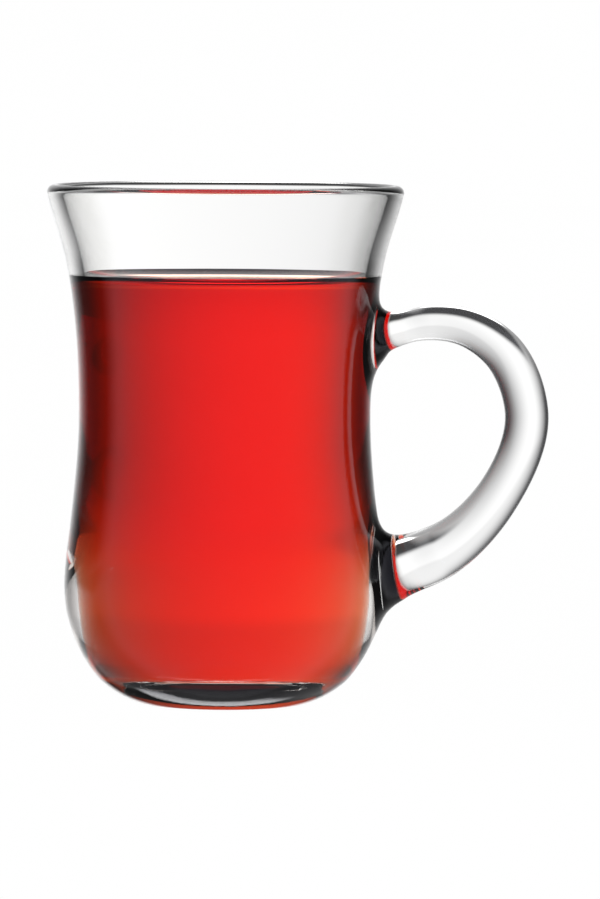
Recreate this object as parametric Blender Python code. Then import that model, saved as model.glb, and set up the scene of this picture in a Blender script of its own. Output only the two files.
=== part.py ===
"""Handled tea glass, pressed in one piece and filled with tea almost to its flared lip.

Two solids, in metres, +Z up: `glass`, the waisted cup with its ear handle grown into the wall,
and `tea`, the drink up to its level. The cup's axis is Z, its foot stands on the plane z = 0,
and the handle reaches towards +X.
"""

import math
from typing import NamedTuple

import bpy
import numpy as np

MM = 0.001

HEIGHT = 100.0 * MM
WALL = 3.05 * MM
TEA_LEVEL = 82.6 * MM
FLOOR_HEIGHT = 7.7 * MM
LIQUID_GAP = 0.3 * MM

LIP_ROUND = 1.45 * MM

FOOT_RADIUS = 15.5 * MM
FOOT_RING_WIDTH = 3.6 * MM
FOOT_TO_HEEL_BULGE = 0.62 * MM
HEEL_HEIGHT = 4.6 * MM
BUTTON_RADIUS = 4.8 * MM
UNDERSIDE_RECESS = 0.8 * MM

BOWL_ARC_RADIUS = 27.0 * MM

CAVITY_FLOOR_RADIUS = 16.0 * MM

CORE_FROM = 8.0 * MM
HANDLE_RINGS = 34
HANDLE_SIDES = 18
SIDES = 56
RING_STEP = 4.5 * MM
ROUND_POINTS = 5
MERGE_DISTANCE = 1e-6
CORNER_POINTS = 8


class Station(NamedTuple):
    """A height on the cup's outline, its radius there, and how the radius grows with height."""

    height: float
    radius: float
    slope: float


class Section(NamedTuple):
    """A place on the handle's middle line, with its half thickness and its half width."""

    reach: float
    height: float
    half_thick: float
    half_wide: float


BOWL = Station(22.7 * MM, 31.1 * MM, 0.0)
HIP = Station(36.0 * MM, 29.83 * MM, -0.105)
WAIST = Station(55.7 * MM, 28.37 * MM, 0.0)
NECK = Station(86.0 * MM, 31.0 * MM, 0.21)
LIP = Station(HEIGHT - LIP_ROUND, 34.75 * MM, 0.31)

CAVITY_HEEL = Station(13.0 * MM, 20.5 * MM, 0.0)
CAVITY_STEP = Station(21.0 * MM, 21.5 * MM, 0.2)
CAVITY_BOWL = Station(36.0 * MM, 25.1 * MM, 0.0)

HANDLE = (
    Section(25.0 * MM, 70.2 * MM, 7.0 * MM, 7.8 * MM),
    Section(28.2 * MM, 71.2 * MM, 5.4 * MM, 6.2 * MM),
    Section(30.6 * MM, 72.1 * MM, 4.2 * MM, 5.1 * MM),
    Section(33.9 * MM, 72.8 * MM, 3.3 * MM, 4.4 * MM),
    Section(40.1 * MM, 74.0 * MM, 3.4 * MM, 4.3 * MM),
    Section(46.4 * MM, 73.3 * MM, 3.7 * MM, 4.4 * MM),
    Section(53.5 * MM, 69.0 * MM, 4.1 * MM, 4.6 * MM),
    Section(58.7 * MM, 57.0 * MM, 4.25 * MM, 4.8 * MM),
    Section(52.7 * MM, 39.7 * MM, 4.4 * MM, 4.9 * MM),
    Section(41.7 * MM, 29.5 * MM, 5.4 * MM, 5.2 * MM),
    Section(34.2 * MM, 26.8 * MM, 6.3 * MM, 5.6 * MM),
    Section(31.1 * MM, 26.1 * MM, 7.6 * MM, 6.6 * MM),
    Section(28.6 * MM, 26.0 * MM, 9.2 * MM, 7.8 * MM),
    Section(25.0 * MM, 26.0 * MM, 11.0 * MM, 9.2 * MM),
)


def between(low, high):
    """Points from one station up to just below the next, as a cubic with both stations' slopes."""
    rise = high.height - low.height
    u = np.linspace(0.0, 1.0, round(rise / RING_STEP), endpoint=False)
    radius = (
        (2 * u**3 - 3 * u**2 + 1) * low.radius
        + (u**3 - 2 * u**2 + u) * rise * low.slope
        + (3 * u**2 - 2 * u**3) * high.radius
        + (u**3 - u**2) * rise * high.slope
    )
    return [(float(r), float(low.height + t * rise)) for r, t in zip(radius, u)]


def through(*stations):
    """The outline through all the stations, from the lowest to the highest."""
    points = [p for low, high in zip(stations, stations[1:]) for p in between(low, high)]
    return points + [(stations[-1].radius, stations[-1].height)]


def arc(centre, radius, start_deg, end_deg, count):
    """Points on a circle round centre, angles counted from the outward radius towards +Z."""
    angles = np.radians(np.linspace(start_deg, end_deg, count))
    return [(centre[0] + radius * math.cos(a), centre[1] + radius * math.sin(a)) for a in angles]


def bulged(start, end, bulge, count):
    """A shallow parabola from start to end, standing bulge proud of the chord on its left."""
    start, end = np.array(start), np.array(end)
    along = end - start
    across = np.array((-along[1], along[0])) / np.linalg.norm(along)
    return [
        tuple(float(v) for v in start + u * along + 4 * bulge * u * (1 - u) * across)
        for u in np.linspace(0.0, 1.0, count)
    ]


def outer_line():
    """The cup's outside from the foot's edge up to the foot of the lip's rounding."""
    drop = BOWL.height - HEEL_HEIGHT
    heel_angle = -math.degrees(math.asin(drop / BOWL_ARC_RADIUS))
    centre = (BOWL.radius - BOWL_ARC_RADIUS, BOWL.height)
    bowl = arc(centre, BOWL_ARC_RADIUS, heel_angle, 0.0, CORNER_POINTS)
    foot = bulged((FOOT_RADIUS, 0.0), bowl[0], -FOOT_TO_HEEL_BULGE, ROUND_POINTS)
    return foot[:-1] + bowl[:-1] + through(BOWL, HIP, WAIST, NECK, LIP)


def inside(station):
    """The station's partner on the inner face, a wall's thickness nearer the axis."""
    return Station(station.height, station.radius - WALL, station.slope)


def cavity_line(gap=0.0, top=None):
    """The inside from the floor's centre up, moved gap into the cavity, and cut off at top."""
    across = CAVITY_HEEL.radius - CAVITY_FLOOR_RADIUS
    up = CAVITY_HEEL.height - FLOOR_HEIGHT
    corner = arc((0.0, 0.0), 1.0, -90.0, 0.0, CORNER_POINTS)
    points = [(0.0, FLOOR_HEIGHT)]
    points += [(CAVITY_FLOOR_RADIUS + c * across, CAVITY_HEEL.height + s * up) for c, s in corner[:-1]]
    points += through(CAVITY_HEEL, CAVITY_STEP, CAVITY_BOWL, inside(WAIST), inside(NECK), inside(LIP))
    if gap:
        points = moved_in(points, gap)
    if top is None:
        return points
    below = [p for p in points if p[1] < top - gap]
    above = points[len(below)]
    share = (top - below[-1][1]) / (above[1] - below[-1][1])
    return below + [(below[-1][0] + share * (above[0] - below[-1][0]), top)]


def moved_in(points, gap):
    """The outline moved square to itself towards the axis and upwards, its first point kept on the axis."""
    p = np.array(points)
    along = np.gradient(p, axis=0)
    along /= np.linalg.norm(along, axis=1, keepdims=True)
    moved = p + gap * np.column_stack((-along[:, 1], along[:, 0]))
    moved[0] = (0.0, p[0, 1] + gap)
    return [tuple(float(v) for v in row) for row in moved]


def lip_line():
    """The rounded lip, from the top of the inner face over to the top of the outer face."""
    inner_side = arc((LIP.radius - WALL + LIP_ROUND, LIP.height), LIP_ROUND, 180.0, 90.0, ROUND_POINTS)
    outer_side = arc((LIP.radius - LIP_ROUND, LIP.height), LIP_ROUND, 90.0, 0.0, ROUND_POINTS)
    return inner_side[1:] + outer_side[:-1]


def underside_line():
    """The underside from the foot's edge to the axis: a standing ring, a recess and a flush button.

    The recess has sides at 45 degrees.
    """
    ring_inside = FOOT_RADIUS - FOOT_RING_WIDTH
    return [
        (ring_inside, 0.0),
        (ring_inside - UNDERSIDE_RECESS, UNDERSIDE_RECESS),
        (BUTTON_RADIUS + UNDERSIDE_RECESS, UNDERSIDE_RECESS),
        (BUTTON_RADIUS, 0.0),
        (0.0, 0.0),
    ]


def turned(name, outline):
    """A solid of revolution about Z from an outline in the XZ plane, by a Screw modifier."""
    mesh = bpy.data.meshes.new(name)
    edges = [(i, i + 1) for i in range(len(outline) - 1)]
    mesh.from_pydata([(r, 0.0, z) for r, z in outline], edges, [])
    obj = bpy.data.objects.new(name, mesh)
    bpy.context.scene.collection.objects.link(obj)
    screw = obj.modifiers.new("Turn", "SCREW")
    screw.axis = "Z"
    screw.steps = SIDES
    screw.render_steps = SIDES
    screw.use_merge_vertices = True
    screw.merge_threshold = MERGE_DISTANCE
    screw.use_smooth_shade = True
    return obj


def smooth_sections(stations, count):
    """The stations' values read at even steps along a smooth curve through them all.

    Each stretch is a Catmull-Rom cubic in the distance along the stations' polyline.
    """
    values = np.array(stations)
    steps = np.linalg.norm(np.diff(values[:, :2], axis=0), axis=1)
    at = np.concatenate(([0.0], np.cumsum(steps)))
    slopes = np.gradient(values, at, axis=0)
    where = np.linspace(0.0, at[-1], count)
    i = np.clip(np.searchsorted(at, where, side="right") - 1, 0, len(at) - 2)
    length = (at[i + 1] - at[i])[:, None]
    u = ((where - at[i])[:, None]) / length
    return (
        (2 * u**3 - 3 * u**2 + 1) * values[i]
        + (u**3 - 2 * u**2 + u) * length * slopes[i]
        + (3 * u**2 - 2 * u**3) * values[i + 1]
        + (u**3 - u**2) * length * slopes[i + 1]
    )


def guide(obj):
    """Marks an object as a helper that only shapes others."""
    obj.hide_render = True
    obj.display_type = "WIRE"
    return obj


def wall_middle():
    """The cup's outer outline drawn in to the middle of its wall, as a solid core."""
    side = [(r - WALL / 2, z) for r, z in outer_line() if z >= CORE_FROM]
    return guide(turned("wall_middle", [(0.0, side[-1][1])] + side[::-1] + [(0.0, side[0][1])]))


def handle_blank():
    """The ear handle as a swept oval whose ends are cut off along the middle of the cup's wall."""
    sections = smooth_sections(HANDLE, HANDLE_RINGS)
    along = np.gradient(sections[:, :2], axis=0)
    along /= np.linalg.norm(along, axis=1, keepdims=True)
    across = np.column_stack((-along[:, 1], along[:, 0]))
    turn = np.radians(np.arange(HANDLE_SIDES) * 360.0 / HANDLE_SIDES)
    thick = sections[:, 2, None] * np.cos(turn)
    wide = sections[:, 3, None] * np.sin(turn)
    x = sections[:, 0, None] + across[:, 0, None] * thick
    z = sections[:, 1, None] + across[:, 1, None] * thick
    vertices = np.stack((x, wide, z), axis=-1).reshape(-1, 3)
    faces = [
        (
            ring * HANDLE_SIDES + side,
            ring * HANDLE_SIDES + (side + 1) % HANDLE_SIDES,
            (ring + 1) * HANDLE_SIDES + (side + 1) % HANDLE_SIDES,
            (ring + 1) * HANDLE_SIDES + side,
        )
        for ring in range(HANDLE_RINGS - 1)
        for side in range(HANDLE_SIDES)
    ]
    last = (HANDLE_RINGS - 1) * HANDLE_SIDES
    faces.append(tuple(reversed(range(HANDLE_SIDES))))
    faces.append(tuple(range(last, last + HANDLE_SIDES)))
    mesh = bpy.data.meshes.new("handle_blank")
    mesh.from_pydata(vertices.tolist(), [], faces)
    mesh.shade_smooth()
    obj = bpy.data.objects.new("handle_blank", mesh)
    bpy.context.scene.collection.objects.link(obj)
    trim = obj.modifiers.new("Ends", "BOOLEAN")
    trim.operation = "DIFFERENCE"
    trim.object = wall_middle()
    return guide(obj)


def material(name, colour, roughness, transmission):
    """A plain Principled material for one sub-part."""
    made = bpy.data.materials.new(name)
    made.use_nodes = True
    shader = made.node_tree.nodes["Principled BSDF"]
    shader.inputs["Base Color"].default_value = (*colour, 1.0)
    shader.inputs["Roughness"].default_value = roughness
    shader.inputs["Metallic"].default_value = 0.0
    shader.inputs["Transmission Weight"].default_value = transmission
    return made


def build_glass():
    """The cup turned in one piece, with the handle joined into its wall."""
    cup = turned("glass", cavity_line() + lip_line() + outer_line()[::-1] + underside_line())
    join = cup.modifiers.new("Handle", "BOOLEAN")
    join.operation = "UNION"
    join.object = handle_blank()
    cup.data.materials.append(material("clear_glass", (0.93, 0.95, 0.94), 0.02, 1.0))
    return cup


def build_tea():
    """The drink, from just above the cup's floor to its level."""
    side = cavity_line(LIQUID_GAP, TEA_LEVEL)
    tea = turned("tea", [(0.0, TEA_LEVEL)] + side[::-1])
    tea.data.materials.append(material("red_tea", (0.55, 0.03, 0.015), 0.05, 0.0))
    return tea


def main():
    """Clears the scene and models both sub-parts."""
    for obj in list(bpy.data.objects):
        bpy.data.objects.remove(obj)
    build_glass()
    build_tea()


main()
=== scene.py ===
"""Looks of the handled tea glass: clear pressed glass filled with red tea, on a pale studio floor.

Three pieces stand for the two solids of the frame. `glass_body` is the cup turned from its outline,
with the ear handle run softly into its wall. `tea_fill` is the drink, which reaches just into the
wall that it wets. `tea_surface` is the thin skin on top of it, which climbs a little at the wall.
All sizes are in metres, +Z is up along the cup's axis, and the handle reaches towards +X.
"""

import logging
import math
from dataclasses import dataclass, field
from enum import Enum
from typing import NamedTuple

import bpy
import numpy as np
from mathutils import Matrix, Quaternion, Vector


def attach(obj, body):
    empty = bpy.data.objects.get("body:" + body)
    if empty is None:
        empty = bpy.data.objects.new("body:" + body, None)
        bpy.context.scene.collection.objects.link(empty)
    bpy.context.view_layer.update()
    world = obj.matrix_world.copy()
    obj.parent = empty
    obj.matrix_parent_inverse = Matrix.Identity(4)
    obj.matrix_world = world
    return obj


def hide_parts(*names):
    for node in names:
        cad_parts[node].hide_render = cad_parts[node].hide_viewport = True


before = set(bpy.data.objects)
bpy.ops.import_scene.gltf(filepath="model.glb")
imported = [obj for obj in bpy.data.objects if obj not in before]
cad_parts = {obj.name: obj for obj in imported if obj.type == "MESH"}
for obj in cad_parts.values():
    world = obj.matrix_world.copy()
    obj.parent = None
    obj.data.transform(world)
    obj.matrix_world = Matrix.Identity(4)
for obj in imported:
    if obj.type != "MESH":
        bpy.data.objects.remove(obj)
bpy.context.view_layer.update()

MM = 0.001
TINY = 1e-9
WHITE = (1.0, 1.0, 1.0, 1.0)
BLACK = (0.0, 0.0, 0.0, 1.0)
CORNER_POINTS = 7
GLASS_INDEX = 1.5
TEA_INDEX = 1.333
LOG = logging.getLogger("tea_glass")


# Outlines


class Station(NamedTuple):
    """A height on an outline, its radius there, and how the radius grows with height."""

    height: float
    radius: float
    slope: float


def between(low: Station, high: Station, step: float) -> np.ndarray:
    """The cubic from one station to the next, with both stations' slopes.

    With u from 0 to 1 over the height, the radius is (2u3 - 3u2 + 1) r0 + (u3 - 2u2 + u) h s0
    + (3u2 - 2u3) r1 + (u3 - u2) h s1, where h is the height between the stations.

    Args:
        low: The lower station.
        high: The upper station.
        step: The wished height between two points.

    Returns:
        Rows of radius and height, without the upper station itself.
    """
    rise = high.height - low.height
    u = np.linspace(0.0, 1.0, max(2, round(rise / step)), endpoint=False)
    radius = (
        (2 * u**3 - 3 * u**2 + 1) * low.radius
        + (u**3 - 2 * u**2 + u) * rise * low.slope
        + (3 * u**2 - 2 * u**3) * high.radius
        + (u**3 - u**2) * rise * high.slope
    )
    return np.column_stack((radius, low.height + u * rise))


def through(stations: list[Station], step: float) -> np.ndarray:
    """The outline through all the stations.

    Args:
        stations: The stations from the lowest to the highest.
        step: The wished height between two points.

    Returns:
        Rows of radius and height, with the last station.
    """
    parts = [between(low, high, step) for low, high in zip(stations, stations[1:])]
    last = [[stations[-1].radius, stations[-1].height]]
    return np.vstack(parts + [last])


def arc(centre: tuple[float, float], radius: float, start: float, end: float, count: int) -> np.ndarray:
    """Points on a circle in the outline's plane, centre + radius (cos a, sin a).

    Args:
        centre: Radius and height of the circle's centre.
        radius: The circle's radius.
        start: First angle in degrees, counted from the outward radius towards +Z.
        end: Last angle in degrees.
        count: Number of points.

    Returns:
        Rows of radius and height.
    """
    a = np.radians(np.linspace(start, end, count))
    return np.column_stack((centre[0] + radius * np.cos(a), centre[1] + radius * np.sin(a)))


def eased_corner(before: np.ndarray, corner: np.ndarray, after: np.ndarray, arm: float) -> np.ndarray:
    """A corner rounded by a parabola, (1-u)2 p + 2u(1-u) corner + u2 q, p and q an arm away from it.

    Args:
        before: A point on the line that comes to the corner.
        corner: The corner.
        after: A point on the line that leaves it.
        arm: Distance from the corner at which the rounding starts.

    Returns:
        Rows of radius and height.
    """
    start = corner + arm * (before - corner) / np.linalg.norm(before - corner)
    end = corner + arm * (after - corner) / np.linalg.norm(after - corner)
    u = np.linspace(0.0, 1.0, CORNER_POINTS)[:, None]
    return (1 - u) ** 2 * start + 2 * u * (1 - u) * corner + u**2 * end


def smooth_step(x: np.ndarray) -> np.ndarray:
    """Rises from 0 to 1 as x goes from 0 to 1, by 3x2 - 2x3, and is level outside."""
    x = np.clip(x, 0.0, 1.0)
    return x * x * (3 - 2 * x)


def moved_aside(outline: np.ndarray, distance: float) -> np.ndarray:
    """The outline moved square to itself, to the left of its travel.

    Args:
        outline: Rows of radius and height.
        distance: How far it moves, negative for the right side.

    Returns:
        The moved rows.
    """
    along = np.gradient(outline, axis=0)
    along /= np.linalg.norm(along, axis=1, keepdims=True)
    return outline + distance * np.column_stack((-along[:, 1], along[:, 0]))


# Meshes


def closed_grid(name: str, first: np.ndarray, rings: np.ndarray, last: np.ndarray) -> bpy.types.Object:
    """A closed surface from rings of points, with a pole at either end.

    The rings follow each other so that their travel, crossed with the way round a ring, points
    out of the solid.

    Args:
        name: Name of the object.
        first: The pole before the first ring.
        rings: Array of rings, columns and three coordinates.
        last: The pole after the last ring.

    Returns:
        The new object, at the origin.
    """
    rows, columns = rings.shape[:2]
    vertices = np.vstack((rings.reshape(-1, 3), first[None], last[None]))
    row, column = np.meshgrid(np.arange(rows - 1), np.arange(columns), indexing="ij")
    here = row * columns + column
    right = row * columns + (column + 1) % columns
    quads = np.stack((here, here + columns, right + columns, right), axis=-1).reshape(-1, 4)
    side = np.arange(columns)
    turn = (side + 1) % columns
    start_pole = np.full(columns, rows * columns)
    base = (rows - 1) * columns
    fans = np.vstack(
        (
            np.column_stack((start_pole, side, turn)),
            np.column_stack((base + side, start_pole + 1, base + turn)),
        )
    )
    sizes = np.concatenate((np.full(len(quads), 4), np.full(len(fans), 3)))
    mesh = bpy.data.meshes.new(name)
    mesh.vertices.add(len(vertices))
    mesh.vertices.foreach_set("co", vertices.astype(np.float32).ravel())
    mesh.loops.add(int(sizes.sum()))
    mesh.loops.foreach_set("vertex_index", np.concatenate((quads.ravel(), fans.ravel())).astype(np.int32))
    mesh.polygons.add(len(sizes))
    mesh.polygons.foreach_set("loop_start", (np.cumsum(sizes) - sizes).astype(np.int32))
    mesh.update(calc_edges=True)
    mesh.validate()
    mesh.shade_smooth()
    made = bpy.data.objects.new(name, mesh)
    bpy.context.scene.collection.objects.link(made)
    return made


def turned(name: str, outline: np.ndarray, angles: np.ndarray) -> bpy.types.Object:
    """A solid of revolution, (r cos a, r sin a, z), from an outline that starts and ends on the axis.

    Args:
        name: Name of the object.
        outline: Rows of radius and height, the solid on the right of their travel.
        angles: Angles round the axis in radians, rising.

    Returns:
        The new object.
    """
    radius = outline[1:-1, :1]
    height = np.broadcast_to(outline[1:-1, 1:], (len(radius), len(angles)))
    rings = np.stack((radius * np.cos(angles), radius * np.sin(angles), height), axis=-1)
    return closed_grid(name, np.array((0.0, 0.0, outline[0, 1])), rings, np.array((0.0, 0.0, outline[-1, 1])))


class Joining(Enum):
    """What an exact Boolean does with its tool."""

    ADD = "UNION"
    CUT = "DIFFERENCE"


def combined(target: bpy.types.Object, tool: bpy.types.Object, joining: Joining) -> None:
    """Applies an exact Boolean to the target's mesh and removes the tool.

    Args:
        target: The object whose mesh changes.
        tool: The other object.
        joining: Whether the tool is added or cut away.
    """
    modifier = target.modifiers.new("Join", "BOOLEAN")
    modifier.operation = joining.value
    modifier.solver = "EXACT"
    modifier.object = tool
    evaluated = target.evaluated_get(bpy.context.evaluated_depsgraph_get())
    mesh = bpy.data.meshes.new_from_object(evaluated)
    target.modifiers.clear()
    target.data = mesh
    bpy.data.objects.remove(tool)


def vectors(elements: bpy.types.bpy_prop_collection, attribute: str) -> np.ndarray:
    """One vector attribute of all of a mesh's elements of a kind.

    Args:
        elements: The mesh's vertices, vertex normals or faces.
        attribute: Name of the attribute, such as co or normal.

    Returns:
        Rows of three numbers.
    """
    flat = np.empty(len(elements) * 3)
    elements.foreach_get(attribute, flat)
    return flat.reshape(-1, 3)


# The cup


@dataclass
class Cup:
    """The waisted cup: its outline inside and outside, and how far points are from its outer face.

    Its heights are fitted to the photograph, and reach up to 0.9 mm past those of the frame.
    """

    wall: float = 3.05 * MM
    lip_round: float = 1.5 * MM
    lip_points: int = 10
    floor_height: float = 7.74 * MM
    floor_points: int = 14
    floor_corner_points: int = 16
    cavity_floor_radius: float = 16.0 * MM
    tea_level: float = 82.4 * MM
    tea_climb: float = 1.4 * MM
    foot_radius: float = 15.5 * MM
    foot_ring_width: float = 3.6 * MM
    foot_edge: float = 0.7 * MM
    foot_edge_clearance: float = 1.3
    foot_to_heel_bulge: float = 0.62 * MM
    heel_height: float = 4.6 * MM
    button_radius: float = 4.8 * MM
    underside_recess: float = 0.8 * MM
    recess_slope_width: float = 1.6 * MM
    underside_inset: float = 0.3 * MM
    underside_points: int = 40
    bowl_arc_radius: float = 27.0 * MM
    outer_step: float = 0.7 * MM
    inner_step: float = 0.9 * MM
    field_step: float = 0.05 * MM
    field_heights: int = 4000
    columns: int = 264
    crowding: float = 0.6
    bowl: Station = Station(22.8 * MM, 31.1 * MM, 0.0)
    hip: Station = Station(36.2 * MM, 29.83 * MM, -0.105)
    waist: Station = Station(56.0 * MM, 28.37 * MM, 0.0)
    neck: Station = Station(86.4 * MM, 31.0 * MM, 0.21)
    lip: Station = Station(99.4 * MM, 34.68 * MM, 0.22)
    cavity_heel: Station = Station(13.06 * MM, 20.5 * MM, 0.0)
    cavity_step: Station = Station(21.1 * MM, 21.5 * MM, 0.2)
    cavity_bowl: Station = Station(36.2 * MM, 25.1 * MM, 0.0)

    def angles(self) -> np.ndarray:
        """Angles round the axis, a = 2 pi u - k sin(2 pi u), which crowd together at the handle."""
        u = np.arange(self.columns) / self.columns
        return 2 * math.pi * u - self.crowding * np.sin(2 * math.pi * u)

    def outer(self, step: float) -> np.ndarray:
        """The outside, from the foot's rounded edge over heel, bowl and waist to the lip.

        The stretch from foot to heel is the chord plus a parabola, 4 b u (1 - u), towards the
        outside.

        Args:
            step: The wished distance between two points.

        Returns:
            Rows of radius and height, rising.
        """
        drop = self.bowl.height - self.heel_height
        heel_angle = -math.degrees(math.asin(drop / self.bowl_arc_radius))
        centre = (self.bowl.radius - self.bowl_arc_radius, self.bowl.height)
        count = round(math.radians(-heel_angle) * self.bowl_arc_radius / step)
        bowl = arc(centre, self.bowl_arc_radius, heel_angle, 0.0, count)
        start = np.array((self.foot_radius, 0.0))
        along = bowl[0] - start
        outward = np.array((along[1], -along[0])) / np.linalg.norm(along)
        u = np.linspace(0.0, 1.0, max(5, round(np.linalg.norm(along) / step)))[:, None]
        foot = start + u * along + 4 * self.foot_to_heel_bulge * u * (1 - u) * outward
        inwards = start - (MM, 0.0)
        edge = eased_corner(inwards, start, foot[1], self.foot_edge)
        clear = foot[np.linalg.norm(foot - start, axis=1) > self.foot_edge_clearance * self.foot_edge]
        stations = [self.bowl, self.hip, self.waist, self.neck, self.lip]
        return np.vstack((edge, clear[:-1], bowl[:-1], through(stations, step)))

    def cavity(self, step: float) -> np.ndarray:
        """The inside, from the floor's centre through a quarter ellipse up to the lip.

        The point nearest to the drink's upper edge is moved onto it, so that wet and dry faces
        meet there.

        Args:
            step: The wished distance between two points.

        Returns:
            Rows of radius and height, rising.
        """
        flat = np.linspace(0.0, self.cavity_floor_radius, self.floor_points, endpoint=False)
        a = np.radians(np.linspace(-90.0, 0.0, self.floor_corner_points, endpoint=False))
        across = self.cavity_heel.radius - self.cavity_floor_radius
        up = self.cavity_heel.height - self.floor_height
        corner = np.column_stack(
            (self.cavity_floor_radius + across * np.cos(a), self.cavity_heel.height + up * np.sin(a))
        )
        tops = [self.waist, self.neck, self.lip]
        inner = [s._replace(radius=s.radius - self.wall) for s in tops]
        side = through([self.cavity_heel, self.cavity_step, self.cavity_bowl] + inner, step)
        contact = self.tea_level + self.tea_climb
        nearest = np.argmin(np.abs(side[:, 1] - contact))
        side[nearest] = (np.interp(contact, side[:, 1], side[:, 0]), contact)
        return np.vstack((np.column_stack((flat, np.full_like(flat, self.floor_height))), corner, side))

    def over_the_lip(self) -> np.ndarray:
        """The fire-polished lip, two quarter circles with a narrow crown between them.

        Returns:
            Rows of radius and height, from the inside to the outside.
        """
        inner_centre = (self.lip.radius - self.wall + self.lip_round, self.lip.height)
        outer_centre = (self.lip.radius - self.lip_round, self.lip.height)
        rise = arc(inner_centre, self.lip_round, 180.0, 90.0, self.lip_points)
        fall = arc(outer_centre, self.lip_round, 90.0, 0.0, self.lip_points)
        return np.vstack((rise[1:], fall[:-1]))

    def underside(self) -> np.ndarray:
        """The underside from the foot ring to the axis: ring, recess and a button in the middle.

        The height over the table is the recess times two smooth steps, one that rises inside the
        ring and one that falls towards the button.

        Returns:
            Rows of radius and height.
        """
        ring_inside = self.foot_radius - self.foot_ring_width
        start = self.foot_radius - self.foot_edge - self.underside_inset
        radius = np.linspace(start, 0.0, self.underside_points)
        into_recess = smooth_step((ring_inside - radius) / self.recess_slope_width)
        out_of_button = smooth_step((radius - self.button_radius) / self.recess_slope_width)
        return np.column_stack((radius, self.underside_recess * into_recess * out_of_button))

    def outline(self) -> np.ndarray:
        """The whole outline, up the inside, over the lip, down the outside and in below."""
        outer = self.outer(self.outer_step)[::-1]
        return np.vstack((self.cavity(self.inner_step), self.over_the_lip(), outer, self.underside()))

    def core(self) -> bpy.types.Object:
        """A solid whose side runs along the middle of the wall, which cuts the handle's ends off.

        Returns:
            The new object.
        """
        line = self.outer(self.outer_step)[::-1]
        line = line[line[:, 1] > self.floor_height] - (self.wall / 2, 0.0)
        closed = np.vstack(((0.0, line[0, 1]), line, (0.0, line[-1, 1])))
        return turned("cup_core", closed, self.angles())

    def field(self, points: np.ndarray) -> tuple[np.ndarray, np.ndarray]:
        """Distance from the outer face and its direction.

        The distance is (r - R(z)) c with c = 1 / sqrt(1 + R'(z)2), which is exact on the face.

        Args:
            points: Rows of three coordinates.

        Returns:
            Distances, positive outside, and rows of unit gradients.
        """
        line = self.outer(self.field_step)
        heights = np.linspace(line[0, 1], line[-1, 1], self.field_heights)
        radii = np.interp(heights, line[:, 1], line[:, 0])
        slopes = np.gradient(radii, heights)
        radius = np.hypot(points[:, 0], points[:, 1])
        slope = np.interp(points[:, 2], heights, slopes)
        lean = 1 / np.sqrt(1 + slope**2)
        distance = (radius - np.interp(points[:, 2], heights, radii)) * lean
        out = points[:, :2] / np.maximum(radius, TINY)[:, None] * lean[:, None]
        return distance, np.column_stack((out, -slope * lean))


# The handle


class Section(NamedTuple):
    """A place on the handle's middle line, with its half thickness and its half width."""

    reach: float
    height: float
    half_thick: float
    half_wide: float


def millimetre_section(reach: float, height: float, half_thick: float, half_wide: float) -> Section:
    """A section whose sizes are given in millimetres."""
    return Section(reach * MM, height * MM, half_thick * MM, half_wide * MM)


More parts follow.
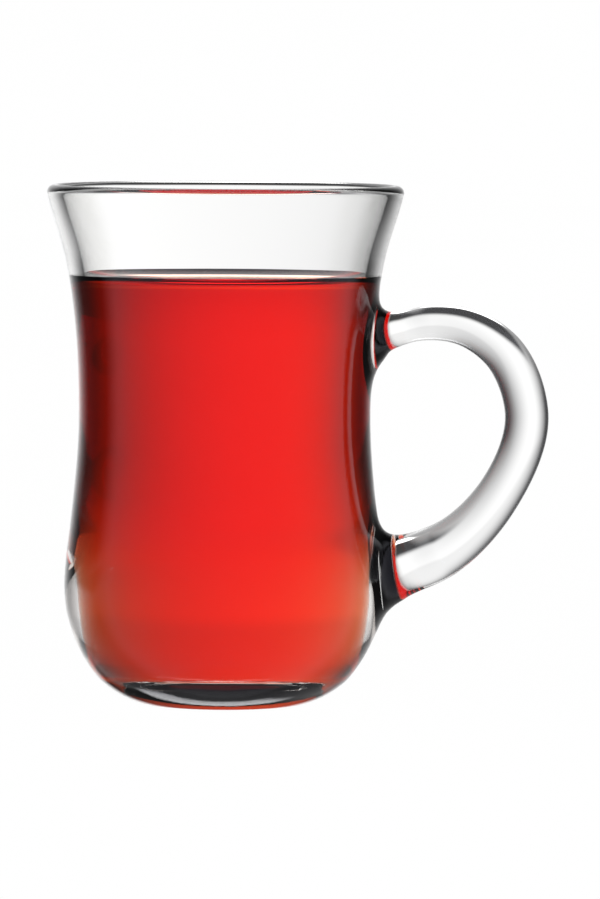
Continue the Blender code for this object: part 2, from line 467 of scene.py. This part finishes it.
@dataclass
class Handle:
    """The ear handle: an oval section carried along a bent line in the plane y = 0."""

    rings: int = 190
    sides: int = 60
    samples: int = 500
    sections: list[Section] = field(
        default_factory=lambda: [
            millimetre_section(25.0, 70.5, 7.0, 7.8),
            millimetre_section(28.2, 71.5, 5.4, 6.2),
            millimetre_section(30.6, 72.4, 4.2, 5.1),
            millimetre_section(33.9, 73.1, 3.3, 4.4),
            millimetre_section(40.1, 74.3, 3.4, 4.3),
            millimetre_section(46.4, 73.6, 3.7, 4.4),
            millimetre_section(53.5, 69.3, 4.1, 4.6),
            millimetre_section(58.7, 57.3, 4.25, 4.8),
            millimetre_section(52.7, 39.9, 4.4, 4.9),
            millimetre_section(41.7, 29.6, 5.4, 5.2),
            millimetre_section(34.2, 26.9, 6.3, 5.6),
            millimetre_section(31.1, 26.2, 7.6, 6.6),
            millimetre_section(28.6, 26.1, 9.2, 7.8),
            millimetre_section(25.0, 26.1, 11.0, 9.2),
        ]
    )

    def line(self, count: int) -> np.ndarray:
        """The sections read at even steps along a smooth curve through them all.

        Each stretch is a Catmull-Rom cubic in the distance along the sections' polyline.

        Args:
            count: Number of places.

        Returns:
            Rows of reach, height, half thickness and half width.
        """
        values = np.array(self.sections)
        steps = np.linalg.norm(np.diff(values[:, :2], axis=0), axis=1)
        at = np.concatenate(([0.0], np.cumsum(steps)))
        slopes = np.gradient(values, at, axis=0)
        where = np.linspace(0.0, at[-1], count)
        i = np.clip(np.searchsorted(at, where, side="right") - 1, 0, len(at) - 2)
        length = (at[i + 1] - at[i])[:, None]
        u = (where - at[i])[:, None] / length
        return (
            (2 * u**3 - 3 * u**2 + 1) * values[i]
            + (u**3 - 2 * u**2 + u) * length * slopes[i]
            + (3 * u**2 - 2 * u**3) * values[i + 1]
            + (u**3 - u**2) * length * slopes[i + 1]
        )

    def blank(self) -> bpy.types.Object:
        """The swept solid: line + thick cos(a) across + wide sin(a) along Y, with closed ends.

        Returns:
            The new object.
        """
        line = self.line(self.rings)
        along = np.gradient(line[:, :2], axis=0)
        along /= np.linalg.norm(along, axis=1, keepdims=True)
        a = np.arange(self.sides) * 2 * math.pi / self.sides
        thick = line[:, 2, None] * np.cos(a)
        wide = line[:, 3, None] * np.sin(a)
        x = line[:, 0, None] - along[:, 1, None] * thick
        z = line[:, 1, None] + along[:, 0, None] * thick
        rings = np.stack((x, wide, z), axis=-1)
        first = np.array((line[0, 0], 0.0, line[0, 1]))
        last = np.array((line[-1, 0], 0.0, line[-1, 1]))
        return closed_grid("handle_blank", first, rings, last)

    def field(self, points: np.ndarray) -> tuple[np.ndarray, np.ndarray]:
        """Distance from the handle's face and its direction.

        With a across the line in its plane and y beside it, F = a2/t2 + y2/w2 - 1 is zero on the
        face. The distance is F over the length of its gradient, which is exact on the face.

        Args:
            points: Rows of three coordinates.

        Returns:
            Distances, positive outside, and rows of unit gradients.
        """
        line = self.line(self.samples)
        travel = np.gradient(line[:, :2], axis=0)
        step = np.linalg.norm(travel, axis=1)
        along = travel / step[:, None]
        taper = np.gradient(line[:, 2:], axis=0) / step[:, None]
        flat = points[:, (0, 2)]
        gaps = flat[:, None, :] - line[None, :, :2]
        nearest = np.argmin((gaps**2).sum(axis=2), axis=1)
        offset = flat - line[nearest, :2]
        way = along[nearest]
        forward = (offset * way).sum(axis=1)
        across = offset[:, 1] * way[:, 0] - offset[:, 0] * way[:, 1]
        thick, wide = (line[nearest, 2:] + taper[nearest] * forward[:, None]).T
        beside = points[:, 1]
        value = (across / thick) ** 2 + (beside / wide) ** 2 - 1
        up_across = 2 * across / thick**2
        up_beside = 2 * beside / wide**2
        up_forward = -2 * (
            across**2 * taper[nearest, 0] / thick**3 + beside**2 * taper[nearest, 1] / wide**3
        )
        gradient = np.column_stack(
            (
                up_forward * way[:, 0] - up_across * way[:, 1],
                up_beside,
                up_forward * way[:, 1] + up_across * way[:, 0],
            )
        )
        steepness = np.maximum(np.linalg.norm(gradient, axis=1), TINY)
        return value / steepness, gradient / steepness[:, None]


# Shaders


class Reading:
    """A shader socket's value that takes part in Python arithmetic by adding Math nodes."""

    def __init__(self, graph: "Graph", socket: bpy.types.NodeSocket) -> None:
        """Wraps a socket of a graph."""
        self.graph = graph
        self.socket = socket

    def _math(self, operation: str, first: object, second: object) -> "Reading":
        """One Math node on two values."""
        return self.graph.node("ShaderNodeMath", {"operation": operation}, {0: first, 1: second})

    def __add__(self, other: object) -> "Reading":
        """self + other."""
        return self._math("ADD", self, other)

    def __radd__(self, other: object) -> "Reading":
        """other + self."""
        return self._math("ADD", other, self)

    def __sub__(self, other: object) -> "Reading":
        """self - other."""
        return self._math("SUBTRACT", self, other)

    def __rsub__(self, other: object) -> "Reading":
        """other - self."""
        return self._math("SUBTRACT", other, self)

    def __mul__(self, other: object) -> "Reading":
        """self * other."""
        return self._math("MULTIPLY", self, other)

    def __rmul__(self, other: object) -> "Reading":
        """other * self."""
        return self._math("MULTIPLY", other, self)

    def __abs__(self) -> "Reading":
        """The value without its sign."""
        return self._math("ABSOLUTE", self, 0.0)


class Graph:
    """A node tree that nodes are added to."""

    def __init__(self, tree: bpy.types.NodeTree) -> None:
        """Wraps a material's or the world's node tree."""
        self.tree = tree

    def feed(self, socket: bpy.types.NodeSocket, value: object) -> None:
        """Links a reading to a socket, or sets a plain value on it.

        Args:
            socket: The input that is fed.
            value: A reading or a plain value.
        """
        if isinstance(value, Reading):
            self.tree.links.new(value.socket, socket)
        else:
            socket.default_value = value

    def node(self, kind: str, settings: dict, sockets: dict, output: object = 0) -> Reading:
        """Adds any node.

        Args:
            kind: The node's type.
            settings: Attributes that are set first.
            sockets: Values or readings by the input's name or number.
            output: Name or number of the output that is returned.

        Returns:
            The reading of that output.
        """
        made = self.tree.nodes.new(kind)
        for name, value in settings.items():
            setattr(made, name, value)
        for name, value in sockets.items():
            self.feed(made.inputs[name], value)
        return Reading(self, made.outputs[output])

    def ramp(self, value: Reading, start: float, end: float, low: float = 0.0, high: float = 1.0) -> Reading:
        """A smooth step of value: low at start and before, high at end and after."""
        settings = {"interpolation_type": "SMOOTHSTEP"}
        return self.node("ShaderNodeMapRange", settings, {0: value, 1: start, 2: end, 3: low, 4: high})

    def noise(self, where: Reading, scale: float, detail: float, roughness: float = 0.5) -> Reading:
        """Smooth noise from 0 to 1, scale being its cells to the metre."""
        values = {"Vector": where, "Scale": scale, "Detail": detail, "Roughness": roughness}
        return self.node("ShaderNodeTexNoise", {}, values, "Fac")

    def place(self) -> Reading:
        """The place on the object, in its own metres."""
        return self.node("ShaderNodeTexCoord", {}, {}, "Object")

    def bumped(self, shader: bpy.types.Node, relief: Reading) -> None:
        """Gives a shader a relief whose heights are in metres."""
        sockets = {"Strength": 1.0, "Distance": 1.0, "Height": relief}
        self.feed(shader.inputs["Normal"], self.node("ShaderNodeBump", {}, sockets, "Normal"))

    def grey(self, value: Reading) -> Reading:
        """A colour without hue from one value."""
        return self.node("ShaderNodeCombineColor", {}, {0: value, 1: value, 2: value})


def principled(name: str, constants: dict) -> tuple[bpy.types.Material, Graph, bpy.types.Node]:
    """A new material with a Principled shader and its plain values.

    Args:
        name: The material's name.
        constants: Plain values by socket name.

    Returns:
        The material, its graph and its shader node.
    """
    made = bpy.data.materials.new(name)
    made.use_nodes = True
    shader = made.node_tree.nodes["Principled BSDF"]
    for socket, value in constants.items():
        shader.inputs[socket].default_value = value
    return made, Graph(made.node_tree), shader


class Beyond(Enum):
    """What lies beyond a face of the glass, with the name of the finish for it."""

    AIR = "clear_glass_finish"
    TEA = "wetted_glass_finish"


@dataclass(frozen=True)
class ClearGlass:
    """Colourless pressed glass, fire-polished, with mould waves and chill wrinkles low down.

    The mirror tint weakens and cools reflections, so that the pale studio doesn't veil the drink.
    """

    index: float = GLASS_INDEX
    wetted_index: float = GLASS_INDEX / TEA_INDEX
    mirror_tint: tuple[float, float, float, float] = (0.42, 0.42, 0.54, 1.0)
    wave_scale: float = 55.0
    wave_height: float = 0.012 * MM
    wrinkle_scale: float = 420.0
    wrinkle_height: float = 0.02 * MM
    wrinkles_below: float = 7.0 * MM
    wrinkles_full_share: float = 0.4
    smear_scale: float = 38.0
    smear_edge: tuple[float, float] = (0.62, 0.8)
    smear_roughness: float = 0.012

    def material(self, beyond: Beyond) -> bpy.types.Material:
        """Builds the finish.

        Long shallow waves run over the whole body, and finer wrinkles fade in towards the foot,
        where the gather met the cold mould. A few smears give the polish a soft spot. Where tea
        wets the wall, light bends by the ratio of the two indices only.

        Args:
            beyond: Whether air or tea lies on the other side of the face.

        Returns:
            The material.
        """
        made, graph, shader = principled(
            beyond.value,
            {
                "Transmission Weight": 1.0,
                "IOR": self.index if beyond is Beyond.AIR else self.wetted_index,
                "Roughness": 0.0,
                "Base Color": WHITE,
                "Specular Tint": self.mirror_tint,
            },
        )
        where = graph.place()
        height = graph.node("ShaderNodeSeparateXYZ", {}, {0: where}, "Z")
        full_below = self.wrinkles_full_share * self.wrinkles_below
        low = graph.ramp(height, full_below, self.wrinkles_below, 1.0, 0.0)
        waves = graph.noise(where, self.wave_scale, detail=1.0)
        wrinkles = graph.noise(where, self.wrinkle_scale, detail=2.0)
        graph.bumped(shader, waves * self.wave_height + wrinkles * low * self.wrinkle_height)
        smears = graph.noise(where, self.smear_scale, detail=3.0, roughness=0.6)
        haze = graph.ramp(smears, *self.smear_edge, 0.0, self.smear_roughness)
        graph.feed(shader.inputs["Roughness"], haze)
        return made


@dataclass(frozen=True)
class RedTea:
    """Clear brewed tea: red in the depth, orange and brown where it is thin."""

    index: float = TEA_INDEX
    clear_index: float = 1.0001
    density: float = 158.0
    colour: tuple[float, float, float] = (0.981, 0.36, 0.02)
    ripple_scale: float = 90.0
    ripple_height: float = 0.02 * MM
    bloom_scale: float = 240.0
    bloom_edge: tuple[float, float] = (0.55, 0.75)
    bloom_roughness: float = 0.03
    drift_scale: float = 30.0
    drift_edge: tuple[float, float] = (0.3, 0.7)
    drift_tone: tuple[float, float] = (0.97, 1.0)

    def surface(self) -> bpy.types.Material:
        """The open surface, which bends and mirrors light, with slow ripples and a thin bloom.

        Returns:
            The material.
        """
        made, graph, shader = principled(
            "tea_surface_finish",
            {"Transmission Weight": 1.0, "IOR": self.index, "Roughness": 0.0, "Base Color": WHITE},
        )
        where = graph.place()
        graph.bumped(shader, graph.noise(where, self.ripple_scale, detail=2.0) * self.ripple_height)
        bloom = graph.noise(where, self.bloom_scale, detail=3.0)
        haze = graph.ramp(bloom, *self.bloom_edge, 0.0, self.bloom_roughness)
        graph.feed(shader.inputs["Roughness"], haze)
        return made

    def clear_face(self) -> bpy.types.Material:
        """A face inside the drink, which light crosses unbent.

        Returns:
            The material.
        """
        made, _, _ = principled(
            "tea_inner_finish",
            {"Transmission Weight": 1.0, "IOR": self.clear_index, "Roughness": 0.0, "Base Color": WHITE},
        )
        return made

    def body(self) -> bpy.types.Material:
        """The drink's depth, which takes out blue and green.

        The wall's own faces bend the light here, so this skin doesn't. Its tone drifts a little
        where the brew is not quite stirred.

        Returns:
            The material.
        """
        made, graph, shader = principled(
            "red_tea_finish",
            {"Transmission Weight": 1.0, "IOR": self.clear_index, "Roughness": 0.0},
        )
        drift = graph.noise(graph.place(), self.drift_scale, detail=2.0)
        tone = graph.ramp(drift, *self.drift_edge, *self.drift_tone)
        graph.feed(shader.inputs["Base Color"], graph.grey(tone))
        depth = made.node_tree.nodes.new("ShaderNodeVolumeAbsorption")
        depth.inputs["Color"].default_value = (*self.colour, 1.0)
        depth.inputs["Density"].default_value = self.density
        end = made.node_tree.nodes["Material Output"]
        made.node_tree.links.new(depth.outputs[0], end.inputs["Volume"])
        return made


# Pieces


@dataclass
class GlassBody:
    """The glass in one piece: the cup, and the handle run into its wall with soft fillets."""

    cup: Cup = field(default_factory=Cup)
    handle: Handle = field(default_factory=Handle)
    fillet: float = 3.6 * MM
    joint_reach: float = 18.0 * MM
    joint_half_width: float = 19.0 * MM
    joint_heights: tuple[float, float] = (9.0 * MM, 90.0 * MM)
    face_tolerance: float = 0.08 * MM
    depth_tolerance: float = 0.3 * MM
    handle_range: float = 9.0 * MM
    easing_rounds: int = 4
    wet_face_margin: float = 0.4 * MM
    wet_floor_margin: float = 0.1 * MM
    finish: ClearGlass = ClearGlass()

    def build(self) -> bpy.types.Object:
        """Turns the cup, joins the handle, and eases the joint.

        Returns:
            The new object.
        """
        made = turned("glass_body", self.cup.outline(), self.cup.angles())
        blank = self.handle.blank()
        combined(blank, self.cup.core(), Joining.CUT)
        combined(made, blank, Joining.ADD)
        made.data.shade_smooth()
        self.ease_joint(made.data)
        return made

    def both_faces(self, points: np.ndarray) -> tuple[np.ndarray, np.ndarray]:
        """Distance from the smooth union of cup and handle, and its direction.

        With h = max(k - |c - d|, 0) / k the distance is min(c, d) - k h2 / 4, whose gradient
        mixes the nearer face's with h / 2 of the farther one's.

        Args:
            points: Rows of three coordinates.

        Returns:
            Distances and rows of unit gradients.
        """
        cup_distance, cup_way = self.cup.field(points)
        handle_distance, handle_way = self.handle.field(points)
        share = np.maximum(self.fillet - np.abs(cup_distance - handle_distance), 0.0) / self.fillet
        distance = np.minimum(cup_distance, handle_distance) - self.fillet * share**2 / 4
        cup_nearer = (cup_distance <= handle_distance)[:, None]
        near = np.where(cup_nearer, cup_way, handle_way)
        far = np.where(cup_nearer, handle_way, cup_way)
        way = near + (share / 2)[:, None] * (far - near)
        length = np.maximum(np.linalg.norm(way, axis=1), TINY)
        return distance / length, way / length[:, None]

    def ease_joint(self, mesh: bpy.types.Mesh) -> None:
        """Moves the outer face round the handle onto the smooth union, and sets its normals.

        Args:
            mesh: The joined mesh, which changes.
        """
        points = vectors(mesh.vertices, "co")
        normals = vectors(mesh.vertex_normals, "vector")
        bottom, top = self.joint_heights
        nearby = (points[:, 0] > self.joint_reach) & (np.abs(points[:, 1]) < self.joint_half_width)
        nearby &= (points[:, 2] > bottom) & (points[:, 2] < top)
        chosen = np.flatnonzero(nearby)
        cup_distance, _ = self.cup.field(points[chosen])
        handle_distance, _ = self.handle.field(points[chosen])
        on_face = np.minimum(np.abs(cup_distance), np.abs(handle_distance)) < self.face_tolerance
        outside = (cup_distance > -self.depth_tolerance) & (handle_distance < self.handle_range)
        chosen = chosen[on_face & outside]
        moved = points[chosen]
        for _ in range(self.easing_rounds):
            distance, way = self.both_faces(moved)
            moved = moved - distance[:, None] * way
        points[chosen] = moved
        normals[chosen] = self.both_faces(moved)[1]
        mesh.vertices.foreach_set("co", points.astype(np.float32).ravel())
        mesh.update()
        mesh.normals_split_custom_set_from_vertices(normals.tolist())

    def dress(self, made: bpy.types.Object) -> None:
        """Gives the dry and the wetted faces their finishes, and ties the piece to the frame.

        Args:
            made: The piece.
        """
        made.data.materials.clear()
        made.data.materials.append(self.finish.material(Beyond.AIR))
        made.data.materials.append(self.finish.material(Beyond.TEA))
        faces = made.data.polygons
        centres = vectors(faces, "center")
        radius = np.hypot(centres[:, 0], centres[:, 1])
        height = centres[:, 2]
        wall = self.cup.cavity(self.cup.inner_step)[self.cup.floor_points - 1 :]
        inside = radius < np.interp(height, wall[:, 1], wall[:, 0]) + self.wet_face_margin
        inside &= height > self.cup.floor_height - self.wet_floor_margin
        below = height < self.cup.tea_level + self.cup.tea_climb
        faces.foreach_set("material_index", (below & inside).astype(np.int32))
        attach(made, "root")
        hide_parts("glass")


@dataclass
class TeaFill:
    """The drink: the cavity's form up to its level, reaching just into the wall it wets."""

    cup: Cup = field(default_factory=Cup)
    overlap: float = 0.06 * MM
    climb_width: float = 2.2 * MM
    skin: float = 0.2 * MM
    skin_clearance: float = 0.2 * MM
    meniscus_zone: float = 6.0 * MM
    meniscus_first: float = 0.05 * MM
    meniscus_points: int = 30
    level_points: int = 24
    upward_from: float = 0.05
    finish: RedTea = RedTea()

    def surface(self, drop: float) -> np.ndarray:
        """The open surface from the axis to the wall, which it climbs by climb exp(-s / width).

        Args:
            drop: How far below the true surface the line runs.

        Returns:
            Rows of radius and height.
        """
        side = moved_aside(self.cup.cavity(self.cup.inner_step), -self.overlap)
        edge_height = self.cup.tea_level + self.cup.tea_climb - drop
        edge = float(np.interp(edge_height, side[:, 1], side[:, 0]))
        far = np.linspace(edge, self.meniscus_zone, self.level_points, endpoint=False)
        near = np.geomspace(self.meniscus_zone, self.meniscus_first, self.meniscus_points)
        radius = np.concatenate((edge - far, edge - near, [edge]))
        distance = np.maximum(edge - self.overlap - radius, 0.0)
        climb = self.cup.tea_climb * np.exp(-distance / self.climb_width)
        return np.column_stack((radius, self.cup.tea_level - drop + climb))

    def build(self) -> list[bpy.types.Object]:
        """Turns the drink's depth and the thin skin with its open surface.

        Returns:
            The depth and the skin.
        """
        side = moved_aside(self.cup.cavity(self.cup.inner_step), -self.overlap)
        side[0, 0] = 0.0
        top = self.surface(self.skin / 2)
        below = side[side[:, 1] < top[-1, 1] - self.skin_clearance]
        depth = turned("tea_fill", np.vstack((top, below[::-1])), self.cup.angles())
        upper = self.surface(0.0)
        lower = self.surface(self.skin)[::-1]
        skin = turned("tea_surface", np.vstack((upper, lower)), self.cup.angles())
        return [depth, skin]

    def dress(self, depth: bpy.types.Object, skin: bpy.types.Object) -> None:
        """Gives both pieces their finishes and ties them to the frame.

        Args:
            depth: The drink's depth.
            skin: The thin skin, whose lower faces lie inside the drink.
        """
        depth.data.materials.append(self.finish.body())
        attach(depth, "root")
        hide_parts("tea")
        skin.data.materials.append(self.finish.surface())
        skin.data.materials.append(self.finish.clear_face())
        lower = vectors(skin.data.polygons, "normal")[:, 2] < self.upward_from
        skin.data.polygons.foreach_set("material_index", lower.astype(np.int32))
        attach(skin, "root")


# Studio


def seen_directly_alone(thing: bpy.types.Object) -> None:
    """Hides a studio object from all light but what goes straight to the camera.

    Args:
        thing: The studio object.
    """
    thing.visible_glossy = False
    thing.visible_transmission = False
    thing.visible_diffuse = False
    thing.visible_shadow = False
    thing.visible_volume_scatter = False


@dataclass(frozen=True)
class StudioWhite:
    """Evenly lit white paper and paint, with the faintest cloudiness."""

    brightness: float = 1.0
    cloud_scale: float = 1.5
    cloud_edge: tuple[float, float] = (0.2, 0.8)
    cloud_tone: tuple[float, float] = (0.995, 1.0)

    def material(self) -> bpy.types.Material:
        """Builds the finish.

        Returns:
            The material.
        """
        made, graph, shader = principled(
            "studio_white",
            {"Base Color": BLACK, "Specular IOR Level": 0.0, "Emission Strength": self.brightness},
        )
        clouds = graph.noise(graph.place(), self.cloud_scale, detail=2.0)
        tone = graph.ramp(clouds, *self.cloud_edge, *self.cloud_tone)
        graph.feed(shader.inputs["Emission Color"], graph.grey(tone))
        return made


@dataclass
class Studio:
    """Pale floor and backdrop for the eye, and the soft light that the glass bends.

    The light depends on its direction alone. A bright screen stands behind the glass, a little
    left of the middle. Dark flags beside and above it draw the dark edges of clear glass, and the
    rest is pale. The table sends back less light. In it, a dark gap under the screen draws the
    lip's far line, and a bright bounce under that gap lights the base.
    """

    centre_deg: float = -8.0
    left_edge_deg: tuple[float, float] = (3.5, 38.0)
    right_edge_deg: tuple[float, float] = (0.0, 49.0)
    behind: float = 1.04
    upper_share: float = 0.85
    upper_edge_deg: tuple[float, float] = (1.0, 6.0)
    sides: float = 0.05
    front: float = 0.8
    front_edge_deg: tuple[float, float] = (64.0, 84.0)
    screen_top_deg: tuple[float, float] = (45.0, 60.0)
    overhead: float = 0.05
    lower_spread: float = 0.15
    lower_spread_deg: tuple[float, float] = (-18.0, -8.0)
    table: float = 0.36
    table_edge_deg: tuple[float, float] = (-38.0, -12.0)
    shade: float = 0.055
    shade_top_deg: tuple[float, float] = (-24.0, -16.0)
    shade_foot_deg: tuple[float, float] = (-49.0, -44.0)
    shade_width_deg: tuple[float, float] = (15.0, 27.0)
    under: float = 0.6
    under_deg: tuple[float, float] = (-70.0, -62.0)
    bounce: float = 3.2
    bounce_width_deg: tuple[float, float] = (20.0, 31.0)
    bounce_top_deg: tuple[float, float] = (-46.0, -41.0)
    bounce_foot_deg: tuple[float, float] = (-58.0, -53.0)
    floor_size: float = 6.0
    floor_hole: float = 0.1
    floor_rings: int = 12
    floor_columns: int = 96
    floor_drop: float = 0.1 * MM
    floor_thickness: float = 2.0 * MM
    dome_radius: float = 5.0
    dome_tilt_deg: float = 88.0
    dome_rings: int = 24
    dome_columns: int = 64

    def build(self) -> None:
        """Makes the floor, the backdrop and the light."""
        white = StudioWhite().material()
        self.floor(white)
        self.backdrop(white)
        self.light()

    def floor(self, white: bpy.types.Material) -> None:
        """A plain pale floor just under the foot, level rings (r cos a, r sin a, -drop).

        Args:
            white: Its finish.
        """
        a = np.arange(self.floor_columns) * 2 * math.pi / self.floor_columns
        radii = np.linspace(self.floor_size, self.floor_hole, self.floor_rings)[:, None]
        level = np.full((self.floor_rings, self.floor_columns), -self.floor_drop)
        rings = np.stack((radii * np.cos(a), radii * np.sin(a), level), axis=-1)
        bottom = np.array((0.0, 0.0, -self.floor_thickness))
        made = closed_grid("studio_floor", bottom, rings, np.array((0.0, 0.0, -self.floor_drop)))
        made.data.materials.append(white)
        seen_directly_alone(made)

    def backdrop(self, white: bpy.types.Material) -> None:
        """A plain pale dome far round the glass, R (cos t cos a, cos t sin a, sin t).

        Args:
            white: Its finish.
        """
        tilt = np.radians(np.linspace(self.dome_tilt_deg, -self.dome_tilt_deg, self.dome_rings))[:, None]
        a = np.arange(self.dome_columns) * 2 * math.pi / self.dome_columns
        radius = self.dome_radius
        across = radius * np.cos(tilt)
        up = np.broadcast_to(radius * np.sin(tilt), (self.dome_rings, self.dome_columns))
        rings = np.stack((across * np.cos(a), across * np.sin(a), up), axis=-1)
        made = closed_grid("studio_dome", np.array((0.0, 0.0, radius)), rings, np.array((0.0, 0.0, -radius)))
        made.data.materials.append(white)
        seen_directly_alone(made)

    def light(self) -> None:
        """Soft light by direction, a level that one zone after another overrules.

        The azimuth is atan2(x, y), from +Y behind the glass towards +X, and the rise is asin(z).
        The screen widens a little low down. A zone with share s and value v turns the level into
        level + s (v - level).
        """
        world = bpy.data.worlds.new("studio_light")
        bpy.context.scene.world = world
        world.use_nodes = True
        graph = Graph(world.node_tree)
        way = graph.node("ShaderNodeTexCoord", {}, {}, "Generated")
        parts = graph.tree.nodes.new("ShaderNodeSeparateXYZ")
        graph.feed(parts.inputs[0], way)
        x, y, z = (Reading(graph, parts.outputs[i]) for i in range(3))
        round_about = graph.node("ShaderNodeMath", {"operation": "ARCTAN2"}, {0: x, 1: y})
        off_centre = abs(round_about - math.radians(self.centre_deg))
        rise = graph.node("ShaderNodeMath", {"operation": "ARCSINE"}, {0: z})
        spread = 1.0 - (1.0 - self.ease(graph, rise, self.lower_spread_deg)) * self.lower_spread
        aside = (round_about - math.radians(self.centre_deg)) * spread
        right = graph.ramp(aside, *map(math.radians, self.right_edge_deg), 1.0, 0.0)
        left = graph.ramp(aside * -1.0, *map(math.radians, self.left_edge_deg), 1.0, 0.0)
        upper = graph.ramp(rise, *map(math.radians, self.upper_edge_deg), 1.0, self.upper_share)
        screen = right * left * upper * (self.behind - self.sides) + self.sides
        facing = self.ease(graph, off_centre, self.front_edge_deg)
        level = screen + facing * (self.front - self.sides)
        returned = self.table + facing * (self.front - self.table)
        shade_edges = (self.shade_width_deg, self.shade_top_deg, self.shade_foot_deg)
        bounce_edges = (self.bounce_width_deg, self.bounce_top_deg, self.bounce_foot_deg)
        for share, value in (
            (self.ease(graph, rise, self.screen_top_deg), self.overhead),
            (1.0 - self.ease(graph, rise, self.table_edge_deg), returned),
            (self.patch(graph, off_centre, rise, *shade_edges), self.shade),
            (1.0 - self.ease(graph, rise, self.under_deg), self.under),
            (self.patch(graph, off_centre, rise, *bounce_edges), self.bounce),
        ):
            level = level + share * (value - level)
        graph.feed(world.node_tree.nodes["Background"].inputs["Color"], graph.grey(level))

    def ease(self, graph: Graph, angle: Reading, edge_deg: tuple[float, float]) -> Reading:
        """Rises from 0 to 1 as the angle passes the edge."""
        return graph.ramp(angle, *map(math.radians, edge_deg))

    def patch(
        self,
        graph: Graph,
        off_centre: Reading,
        rise: Reading,
        width_deg: tuple[float, float],
        top_deg: tuple[float, float],
        foot_deg: tuple[float, float],
    ) -> Reading:
        """How far a direction lies inside a soft-edged patch round the screen's middle.

        Args:
            graph: The world's graph.
            off_centre: The direction's angle from the screen's middle, to either side.
            rise: Its angle above the level.
            width_deg: Where the patch starts to fade at its sides, and where it ends.
            top_deg: Where it starts to fade at its top, from below, and where it ends.
            foot_deg: Where it starts at its foot, and from where on it is full.

        Returns:
            The share, from 0 outside to 1 inside.
        """
        within = 1.0 - self.ease(graph, off_centre, width_deg)
        below = 1.0 - self.ease(graph, rise, top_deg)
        return within * below * self.ease(graph, rise, foot_deg)


@dataclass
class PhotoCamera:
    """The camera at the photograph's angle: far away, a little above the lip."""

    lens: float = 280.0
    place: tuple[float, float, float] = (0.0147, -1.358, 0.1325)
    aim: tuple[float, float, float] = (0.0147, 0.0, 0.0495)
    roll_deg: float = 0.3
    sensor_width: float = 36.0
    clip_end: float = 50.0

    def build(self) -> None:
        """Makes the camera and sets it as the scene's."""
        data = bpy.data.cameras.new("photo_camera")
        data.lens = self.lens
        data.sensor_width = self.sensor_width
        data.sensor_fit = "AUTO"
        data.clip_end = self.clip_end
        made = bpy.data.objects.new("photo_camera", data)
        bpy.context.scene.collection.objects.link(made)
        made.location = self.place
        look = (Vector(self.aim) - Vector(self.place)).to_track_quat("-Z", "Y")
        made.rotation_mode = "QUATERNION"
        made.rotation_quaternion = look @ Quaternion((0.0, 0.0, 1.0), math.radians(self.roll_deg))
        bpy.context.scene.camera = made


def report(piece: bpy.types.Object, words: str) -> None:
    """Logs a piece's name, its number of triangles and what it is."""
    piece.data.calc_loop_triangles()
    LOG.info("%s: %d triangles, %s", piece.name, len(piece.data.loop_triangles), words)


def main() -> None:
    """Builds the camera, the studio and the three pieces."""
    logging.basicConfig(level=logging.INFO, format="%(name)s %(message)s")
    bpy.context.scene.view_settings.view_transform = "Standard"
    PhotoCamera().build()
    Studio().build()
    glass = GlassBody()
    body = glass.build()
    glass.dress(body)
    report(body, "cup and handle in one")
    tea = TeaFill()
    depth, skin = tea.build()
    tea.dress(depth, skin)
    report(depth, "drink up to its level")
    report(skin, "its open surface")


if __name__ == "__main__":
    main()
